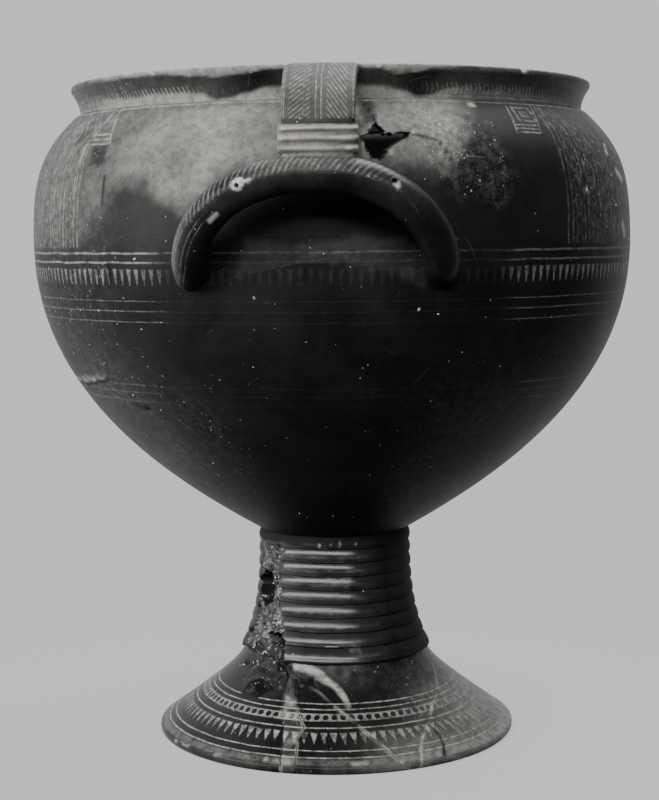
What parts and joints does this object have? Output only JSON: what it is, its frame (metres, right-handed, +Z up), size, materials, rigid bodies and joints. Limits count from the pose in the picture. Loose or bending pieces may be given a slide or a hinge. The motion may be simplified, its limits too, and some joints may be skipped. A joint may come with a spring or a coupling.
{
  "type": "footed krater",
  "caption": "Deep footed mixing bowl in black-glossed pottery: ribbed turned stem on a flared foot, low collar and tall stirrup handles with ridged straps.",
  "frame": {"origin": "on the ground under the vessel's axis, at the middle of the foot's underside", "axes": "+Z up the axis to the lip; the front handle points to -Y and the back handle to +Y; +X to the right seen from the front"},
  "size_m": [0.4764, 0.5614, 0.52],
  "materials": {
    "black_gloss": "dark satin slip over fired clay, worn and scratched",
    "plaster_fill": "matt restoration plaster, toned dark and stained"
  },
  "bodies": {
    "root": {"foot_flare": "black_gloss", "foot_sherd_right": "black_gloss", "foot_sherd_centre": "black_gloss", "foot_plaster_fill": "plaster_fill", "stem_ribbed": "black_gloss", "bowl_lower": "black_gloss", "bowl_shoulder": "black_gloss", "rim_collar": "black_gloss", "handle_loop_front": "black_gloss", "handle_strap_front": "black_gloss", "handle_loop_back": "black_gloss", "handle_strap_back": "black_gloss"}
  },
  "joints": []
}
